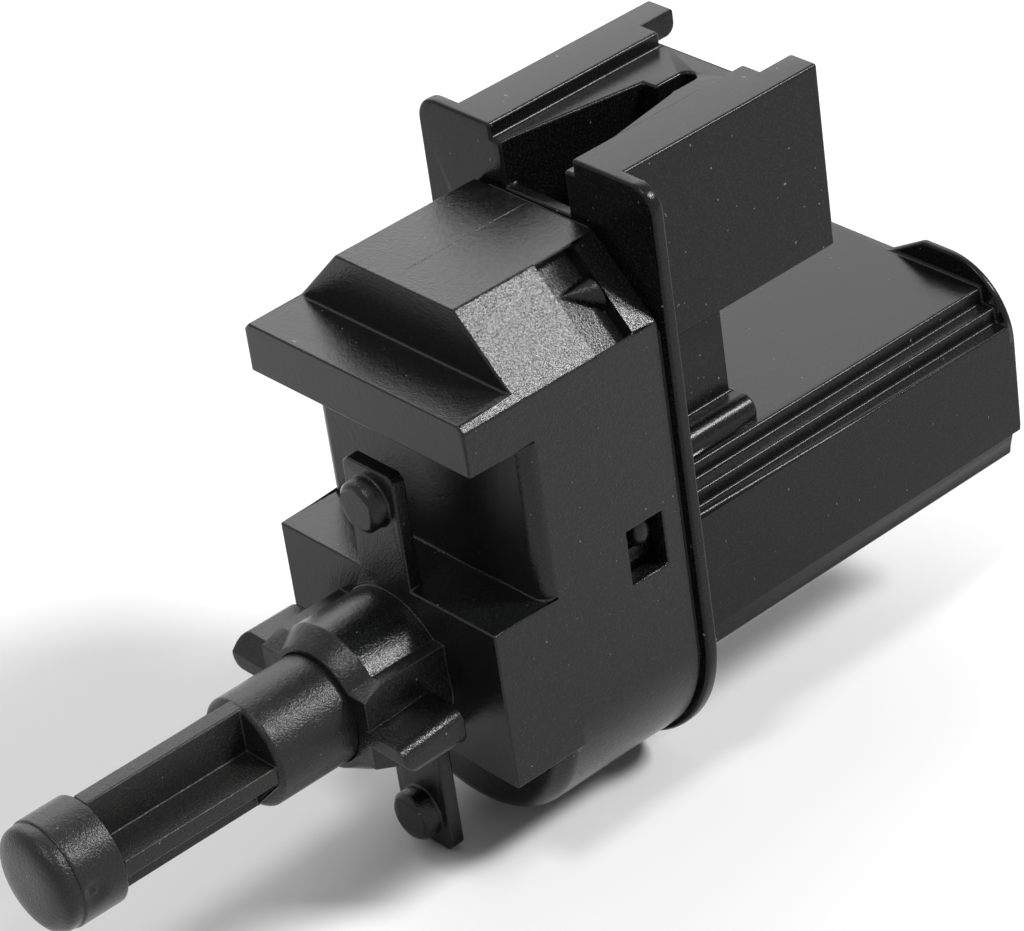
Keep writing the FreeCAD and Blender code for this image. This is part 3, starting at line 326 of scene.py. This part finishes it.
def ends(edge):
    """Both end points of an edge."""
    return [v.co for v in edge.verts]


def middle(edge):
    """The middle point of an edge."""
    return (edge.verts[0].co + edge.verts[1].co) / 2


def split_chamfers(work, lengths):
    """Cuts the faces that lean between side and top at lengths along Y; returns the cut edges."""
    cuts = set()
    for length in lengths:
        leaning = [f for f in work.faces if abs(f.normal.x) > 0.6 and f.normal.z > 0.6]
        around = {e for f in leaning for e in f.edges} | {v for f in leaning for v in f.verts}
        made = bmesh.ops.bisect_plane(work, geom=leaning + list(around), dist=1e-7,
                                      plane_co=(0.0, length * MM, 0.0), plane_no=(0.0, 1.0, 0.0))
        cuts |= {part for part in made["geom_cut"] if isinstance(part, bmesh.types.BMEdge)}
    return cuts


def rounded_copy(node, width, segments=3):
    """A copy of a CAD node whose edges sharper than SHARP_EDGE are rounded by a bevel.

    The copy's doubles are merged and flat neighbours dissolved, so the bevel runs along whole
    edges. The collar's edges are rounded first, with their own smaller width. An edge stays
    sharp at a crisp place, or where a face beside it has no room for the rounding.
    """
    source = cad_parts[node]
    work = bmesh.new()
    work.from_mesh(source.data)
    bmesh.ops.remove_doubles(work, verts=work.verts, dist=1e-6)
    cuts = split_chamfers(work, POCKET_ENDS.get(node, ()))
    pierced = PIERCED.get(node, ())
    bmesh.ops.dissolve_limit(
        work, angle_limit=math.radians(ONE_FLAT), verts=work.verts,
        edges=[e for e in work.edges if e not in cuts and clear_of(ends(e), pierced)],
        use_dissolve_boundaries=False)
    collar = COLLAR.get(node, ())
    for near_collar in (True, False):
        reach = COLLAR_EDGE if near_collar else width
        edges = [e for e in work.edges
                 if len(e.link_faces) == 2 and e.calc_face_angle(0.0) > math.radians(SHARP_EDGE)
                 and clear_of([middle(e)], collar) != near_collar
                 and min(depth_beside(e, f) for f in e.link_faces) > reach * FACE_ROOM
                 and clear_of(ends(e), CRISP_ENDS.get(node, ()))
                 and clear_of([middle(e)], CRISP_MIDDLES.get(node, ()))]
        bmesh.ops.bevel(
            work, geom=edges, offset=reach, offset_type="OFFSET", segments=segments, profile=0.5,
            affect="EDGES", clamp_overlap=False, harden_normals=False)
    bmesh.ops.triangulate(work, faces=[f for f in work.faces if len(f.verts) > 4])
    mesh = bpy.data.meshes.new(node + "_rounded")
    work.to_mesh(mesh)
    work.free()
    mesh.shade_smooth()
    mesh.set_sharp_from_angle(angle=math.radians(SHADING_BREAK))
    piece = bpy.data.objects.new(node + "_rounded", mesh)
    bpy.context.scene.collection.objects.link(piece)
    flat = piece.modifiers.new("flat_faces", "WEIGHTED_NORMAL")
    flat.mode = "FACE_AREA"
    flat.weight = 100
    flat.thresh = 0.0001
    flat.keep_sharp = True
    return piece


def lathe(name, profile, count, dent=None):
    """A closed turned body about the plunger's axis.

    A profile point (r, y) goes to (r cos a, y, r sin a); dent(a, r, y) is taken off r before that.
    """
    r, y = np.asarray(profile, float).T
    angle = np.arange(count) * 2 * math.pi / count
    a, r, y = angle[None, :], r[:, None] + 0 * angle, y[:, None] + 0 * angle
    r = r - (dent(a, r, y) if dent else 0.0)
    points = np.stack([r * np.cos(a), y, r * np.sin(a)], -1) * MM
    faces = grid_faces(len(profile), count, closed=True)
    piece = mesh_object(name, points.reshape(-1, 3), faces)
    work = bmesh.new()
    work.from_mesh(piece.data)
    bmesh.ops.remove_doubles(work, verts=work.verts, dist=1e-7)
    bmesh.ops.recalc_face_normals(work, faces=work.faces)
    work.to_mesh(piece.data)
    work.free()
    return piece


def relief(name, base, along, across, normal, u, v, height):
    """A raised sheet: base plus u along, v across and height(u, v) up, in millimetres."""
    base, along, across, normal = (np.asarray(w, float) for w in (base, along, across, normal))
    u, v = np.meshgrid(u, v, indexing="ij")
    points = base + u[..., None] * along + v[..., None] * across + height(u, v)[..., None] * normal
    faces = grid_faces(*u.shape)
    if np.dot(np.cross(along, across), normal) < 0:
        faces = faces[:, ::-1]
    return mesh_object(name, points.reshape(-1, 3) * MM, faces)


def ridge(name, path, normal, width, height, material, body):
    """A fine raised line swept along a path, with its feet sunk into the surface.

    The cross-section is half a cosine: height times cos(pi u / 2) over u from -1 to 1 across
    the width. Towards both ends the line runs out by a low power of a sine.
    """
    path = np.asarray(path, float) * MM
    normal = np.asarray(normal, float)
    along = np.gradient(path, axis=0)
    along /= np.linalg.norm(along, axis=1, keepdims=True)
    across = np.cross(along, normal)
    u = np.linspace(-1.0, 1.0, 7)
    sunk = 0.02 * MM
    rise = np.cos(u * math.pi / 2) * (height + sunk) - sunk
    taper = np.sin(np.linspace(0.0, math.pi, len(path))) ** 0.12
    grid = (path[:, None, :] + across[:, None, :] * (u * width / 2)[None, :, None]
            + normal[None, None, :] * (rise[None, :] * taper[:, None])[:, :, None])
    piece = mesh_object(name, grid.reshape(-1, 3), grid_faces(len(path), len(u)))
    finish(piece, material, body)


def finish(piece, material, body):
    """Gives a piece its material and its body, and shades it smooth."""
    for polygon in piece.data.polygons:
        polygon.use_smooth = True
    finish_shell(piece, material, body)


def finish_shell(piece, material, body):
    """As finish, but keeps the shading that the shell has."""
    piece.data.materials.clear()
    piece.data.materials.append(material)
    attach(piece, body)


def dress(node, material):
    """Assigns a procedural material to a CAD node."""
    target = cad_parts[node]
    target.data.materials.clear()
    target.data.materials.append(material)


def straight(start, end, count=24):
    """Points evenly along a straight line: start plus t times the difference."""
    t = np.linspace(0.0, 1.0, count)[:, None]
    return np.asarray(start, float) * (1 - t) + np.asarray(end, float) * t


MATERIALS = {}


def finishes():
    """Every finish of the switch, made once."""
    if MATERIALS:
        return MATERIALS
    c = bpy.context.scene.switch_colours
    nylon, pale = tuple(c.nylon), tuple(c.nylon_pale)
    MATERIALS["front"] = moulded_plastic(
        "spark_eroded_nylon", nylon, pale, 8200.0, (0.13, 0.20), 0.6, 0.27)
    MATERIALS["rear"] = moulded_plastic(
        "smooth_nylon", tuple(v * 0.7 for v in nylon), pale, 9500.0, (0.17, 0.25), 0.2, 0.17)
    plunger = tuple(c.plunger)
    MATERIALS["plunger"] = moulded_plastic(
        "plunger_nylon", plunger, tuple(v * 2.2 for v in plunger), 8000.0, (0.20, 0.28), 0.8, 0.25)
    natural = tuple(c.natural)
    MATERIALS["natural"] = moulded_plastic(
        "natural_plastic", natural, tuple(v * 1.1 for v in natural), 2600.0, (0.42, 0.58), 0.2)
    MATERIALS["rubber"] = rubber("moulded_rubber", tuple(c.rubber))
    MATERIALS["brass"] = stamped_metal("contact_strip", tuple(c.brass), 0.30)
    MATERIALS["tin"] = stamped_metal("tin_plate", tuple(c.tin), 0.32)
    even = (1.0, 1.0, 1.0)
    MATERIALS["silver"] = stamped_metal("contact_silver", (0.86, 0.85, 0.82), 0.22, even)
    MATERIALS["wire"] = stamped_metal("drawn_spring_wire", (0.52, 0.52, 0.53), 0.30, even)
    return MATERIALS


class SWITCH_OT_front_housing(bpy.types.Operator):
    """Rounded front housing with its pocket floors, window nubs and mould parting line"""
    bl_idname = "switch.front_housing"
    bl_label = "Front housing"

    def execute(self, context):
        m = finishes()["front"]
        s = context.scene.switch_sizes
        shell = rounded_copy("front_housing", s.housing_edge)
        finish_shell(shell, m, "housing")
        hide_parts("front_housing")
        for side, word in ((1.0, "right"), (-1.0, "left")):
            across, normal = np.array((side, 0, -1)) * DIAGONAL, np.array((side, 0, 1)) * DIAGONAL
            bed = relief("pocket_cone_" + word, (side * POCKET_X, 0.0, POCKET_Z),
                         (0, 1, 0), across, normal,
                         np.linspace(POCKET_FRONT, POCKET_REAR, 56),
                         np.linspace(-POCKET_HALF, POCKET_HALF, 96), self.cone_height)
            finish(bed, m, "housing")
            bed.data.set_sharp_from_angle(angle=math.radians(40.0))
            nub = relief("window_nub_" + word, (side * WINDOW_X, NUB_Y, NUB_Z),
                         (0, 1, 0), (0, 0, 1), (side, 0, 0),
                         np.linspace(-NUB_RADIUS, NUB_RADIUS, 28), np.linspace(-1.2, 1.2, 36),
                         self.nub_height)
            finish(nub, m, "housing")
        line = straight((-0.5, 6.2, 26.9), (-0.5, 16.5, 26.9))
        ridge("hood_parting_line", line, (0, 0, 1), s.seam_width * 0.6, s.seam_height * 0.7, m,
              "housing")
        return {"FINISHED"}

    @staticmethod
    def cone_height(u, v):
        """Pocket floor that rises a little to the rear, with a half cone lying on it.

        Distance v from the cone's axis and radius R growing evenly from apex to base give
        the height above the floor as the root of R squared less that distance squared.
        """
        share = np.clip((u - CONE_APEX) / (POCKET_REAR - CONE_APEX), 0.0, 1.0)
        radius = CONE_RADIUS * share
        off = v - (-1.15 + 1.0 * share)
        floor = -POCKET_DEPTH + POCKET_RISE * (u - POCKET_FRONT)
        cone = -1.57 + np.sqrt(np.clip(radius ** 2 - off ** 2, 0.0, None))
        return np.maximum(floor, cone)

    @staticmethod
    def nub_height(u, v):
        """Half an ellipsoid: the root of radius squared less u squared less half v squared."""
        return np.sqrt(np.clip(NUB_RADIUS ** 2 - u * u - v * v / 2, 0, 1))


class SWITCH_OT_rear_housing(bpy.types.Operator):
    """Rounded rear housing with flange, cradle and shroud"""
    bl_idname = "switch.rear_housing"
    bl_label = "Rear housing"

    def execute(self, context):
        m = finishes()["rear"]
        s = context.scene.switch_sizes
        shell = rounded_copy("rear_housing", s.rear_edge)
        self.sink_snaps(shell.data)
        finish_shell(shell, m, "housing")
        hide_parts("rear_housing")
        return {"FINISHED"}

    @staticmethod
    def sink_snaps(mesh):
        """Lowers the snap pins under the pocket cones, and sets the hooks back in the windows.

        A point in the box round a pin moves down the chamfer's normal by PIN_DROP, and a point in
        the box round a hook goes no further out than WINDOW_X.
        """
        points = np.empty(len(mesh.vertices) * 3)
        mesh.vertices.foreach_get("co", points)
        x, y, z = points.reshape(-1, 3).T / MM
        side = np.sign(x)
        pin = (y > 11.7) & (y < 14.2) & (z > 20.0) & (np.abs(x) > 5.0) & (np.abs(x) < 10.0)
        x, z = x - side * pin * PIN_DROP * DIAGONAL, z - pin * PIN_DROP * DIAGONAL
        hook = (y > 11.8) & (y < 15.3) & (z > 3.8) & (z < 8.1) & (np.abs(x) > WINDOW_X)
        x = np.where(hook, side * WINDOW_X, x)
        mesh.vertices.foreach_set("co", (np.stack([x, y, z], -1) * MM).ravel())
        mesh.update()


class SWITCH_OT_plunger(bpy.types.Operator):
    """Rounded plunger and its tip cap"""
    bl_idname = "switch.plunger"
    bl_label = "Plunger and cap"

    def execute(self, context):
        m = finishes()["plunger"]
        s = context.scene.switch_sizes
        shell = rounded_copy("plunger", s.plunger_edge)
        finish_shell(shell, m, "plunger_group")
        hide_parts("plunger")
        cap = lathe("plunger_cap_turned", self.cap_profile(), 160, self.cap_mark)
        finish(cap, m, "plunger_group")
        cap.data.set_sharp_from_angle(angle=math.radians(50.0))
        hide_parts("plunger_cap")
        return {"FINISHED"}

    @staticmethod
    def cap_profile():
        """Half section: bore, back face, side, small crease and a superellipse dome.

        On the dome r over its radius and the height over its height, each to DOME_POWER, sum
        to one.
        """
        t = np.linspace(0.0, math.pi / 2, 36)
        dome_r = DOME_RADIUS * np.cos(t) ** (2 / DOME_POWER)
        dome_y = DOME_START - DOME_HEIGHT * np.sin(t) ** (2 / DOME_POWER)
        dome_r[-1] = 0.0
        turn = np.linspace(0.0, math.pi / 2, 7)
        back = np.stack([3.74 + 0.16 * np.sin(turn), -26.16 + 0.16 * np.cos(turn)], -1)
        side = np.stack([np.full(40, CAP_RADIUS), np.linspace(-26.3, -29.25, 40)], -1)
        shoulder = np.stack([DOME_RADIUS + 0.12 * np.cos(turn),
                             CAP_SHOULDER - 0.2 * np.sin(turn)], -1)
        bore = [(0.0, -28.65), (1.6, -28.65), (1.6, CAP_BACK), (2.6, CAP_BACK)]
        return np.concatenate([bore, back, side, shoulder, np.stack([dome_r, dome_y], -1)[1:]])

    @staticmethod
    def cap_mark(a, r, y):
        """A round dimple in the side with a small pip in it: two Gaussian bells of the distance."""
        turn = (a + math.pi) % (2 * math.pi) - math.pi
        away = (turn * CAP_RADIUS) ** 2 + (y - MARK_Y) ** 2
        on_side = (r > 3.8) & (y < -26.4)
        return on_side * (0.38 * np.exp(-away / 0.42) - 0.30 * np.exp(-away / 0.07))


class SWITCH_OT_contacts(bpy.types.Operator):
    """Finishes of the carrier, springs, contacts, terminals and seals"""
    bl_idname = "switch.contacts"
    bl_label = "Contacts and seals"

    def execute(self, context):
        m = finishes()
        kinds = {
            "natural": ["contact_carrier", "spring_stand"],
            "rear": ["terminal_base", "seal_retainer"],
            "rubber": ["stop_bumper", "housing_gasket", "plunger_seal"],
            "brass": ["contact_bridge_right", "contact_bridge_left"],
            "silver": ["contact_tips_right", "contact_tips_left"],
            "wire": ["return_spring", "contact_spring_right", "contact_spring_left"],
            "tin": ["terminal_1", "terminal_2", "terminal_3", "terminal_4"],
        }
        for finish_name, nodes in kinds.items():
            for node in nodes:
                dress(node, m[finish_name])
        return {"FINISHED"}


def area_light(name, place, target, size, power):
    """A white rectangular area lamp at a place, aimed at a target, in millimetres."""
    data = bpy.data.lights.new(name, "AREA")
    data.shape = "RECTANGLE"
    data.size, data.size_y = size[0] * MM, size[1] * MM
    data.energy = power
    lamp = bpy.data.objects.new(name, data)
    bpy.context.scene.collection.objects.link(lamp)
    place = Vector(place) * MM
    lamp.location = place
    lamp.rotation_euler = (Vector(target) * MM - place).to_track_quat("-Z", "Y").to_euler()


class SWITCH_OT_stage(bpy.types.Operator):
    """Pale floor, soft studio lamps and the photograph's camera"""
    bl_idname = "switch.stage"
    bl_label = "Stage"

    def execute(self, context):
        scene = context.scene
        low = min(CAD_BOX[0][2], CAD_BOX[1][2])
        self.floor(scene, low - scene.switch_sizes.floor_drop)
        self.surroundings(scene)
        for lamp in LAMPS:
            area_light(*lamp)
        self.camera(scene)
        scene.view_settings.view_transform = "Standard"
        return {"FINISHED"}

    def floor(self, scene, level):
        """A flat square floor just under the lowest point."""
        t = np.linspace(-1.0, 1.0, FLOOR_ROWS) * FLOOR_HALF
        x, y = np.meshgrid(t, t)
        points = np.stack([x, y, np.full_like(x, level - FLOOR_GAP)], -1)
        floor = mesh_object("floor", points.reshape(-1, 3), grid_faces(FLOOR_ROWS, FLOOR_ROWS))
        floor.data.materials.append(self.backdrop("floor_white", tuple(scene.switch_colours.floor)))

    def surroundings(self, scene):
        """A dim white world that camera, glossy and transmission rays see at full white."""
        world = bpy.data.worlds.new("studio")
        scene.world = world
        world.use_nodes = True
        tree = world.node_tree
        tree.nodes.clear()
        path = tree.nodes.new("ShaderNodeLightPath")
        seen = path.outputs["Is Camera Ray"]
        for ray in ("Is Glossy Ray", "Is Transmission Ray"):
            either = tree.nodes.new("ShaderNodeMath")
            either.operation = "MAXIMUM"
            tree.links.new(path.outputs[ray], either.inputs[0])
            tree.links.new(seen, either.inputs[1])
            seen = either.outputs[0]
        mix = tree.nodes.new("ShaderNodeMixShader")
        tree.links.new(seen, mix.inputs[0])
        for slot, strength in ((1, WORLD_DIM), (2, WORLD_SEEN)):
            light = tree.nodes.new("ShaderNodeBackground")
            light.inputs["Color"].default_value = WORLD_WHITE
            light.inputs["Strength"].default_value = strength
            tree.links.new(light.outputs[0], mix.inputs[slot])
        output = tree.nodes.new("ShaderNodeOutputWorld")
        tree.links.new(mix.outputs[0], output.inputs["Surface"])

    def backdrop(self, name, colour):
        """A pale matte floor."""
        n = Nodes(name)
        cloud = n.noise(14.0, 2.0, 0.5)
        pale = tuple(min(1.0, c * 1.01) for c in colour)
        n.join(n.ramp(cloud, [(0.3, colour), (0.7, pale)]), n.shader.inputs["Base Color"])
        n.shader.inputs["Roughness"].default_value = 0.85
        n.shader.inputs["Specular IOR Level"].default_value = 0.1
        return n.material

    def camera(self, scene):
        """The camera that was fitted to the photograph, squared up from its right and back."""
        right = Vector(CAMERA_RIGHT).normalized()
        back = Vector(CAMERA_BACK).normalized()
        up = back.cross(right).normalized()
        right = up.cross(back).normalized()
        data = bpy.data.cameras.new("photo_camera")
        data.sensor_fit = "HORIZONTAL"
        data.sensor_width = CAMERA_SENSOR
        data.lens = CAMERA_LENS
        data.clip_start = CAMERA_NEAR
        camera = bpy.data.objects.new("photo_camera", data)
        scene.collection.objects.link(camera)
        turn = Matrix((right, up, back)).transposed().to_4x4()
        camera.matrix_world = Matrix.Translation(CAMERA_PLACE) @ turn
        scene.camera = camera


class SWITCH_PT_panel(bpy.types.Panel):
    """Sidebar panel of the switch's steps"""
    bl_label = "Clutch switch"
    bl_idname = "SWITCH_PT_panel"
    bl_space_type = "VIEW_3D"
    bl_region_type = "UI"
    bl_category = "Switch"

    def draw(self, context):
        layout = self.layout
        for step in STEPS:
            layout.operator(step.bl_idname)
        for group in (context.scene.switch_sizes, context.scene.switch_colours):
            for key in group.bl_rna.properties.keys():
                if key not in {"rna_type", "name"}:
                    layout.prop(group, key)


STEPS = (
    SWITCH_OT_front_housing,
    SWITCH_OT_rear_housing,
    SWITCH_OT_plunger,
    SWITCH_OT_contacts,
    SWITCH_OT_stage,
)
CLASSES = (SwitchSizes, SwitchColours, *STEPS, SWITCH_PT_panel)


def register():
    """Registers the classes and hangs both groups on the scene."""
    for cls in CLASSES:
        bpy.utils.register_class(cls)
    bpy.types.Scene.switch_sizes = bpy.props.PointerProperty(type=SwitchSizes)
    bpy.types.Scene.switch_colours = bpy.props.PointerProperty(type=SwitchColours)


def unregister():
    """Takes the groups and classes away again."""
    del bpy.types.Scene.switch_colours
    del bpy.types.Scene.switch_sizes
    for cls in reversed(CLASSES):
        bpy.utils.unregister_class(cls)


def main():
    """Registers the add-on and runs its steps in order."""
    register()
    bpy.ops.switch.front_housing()
    bpy.ops.switch.rear_housing()
    bpy.ops.switch.plunger()
    bpy.ops.switch.contacts()
    bpy.ops.switch.stage()


if __name__ == "__main__":
    main()
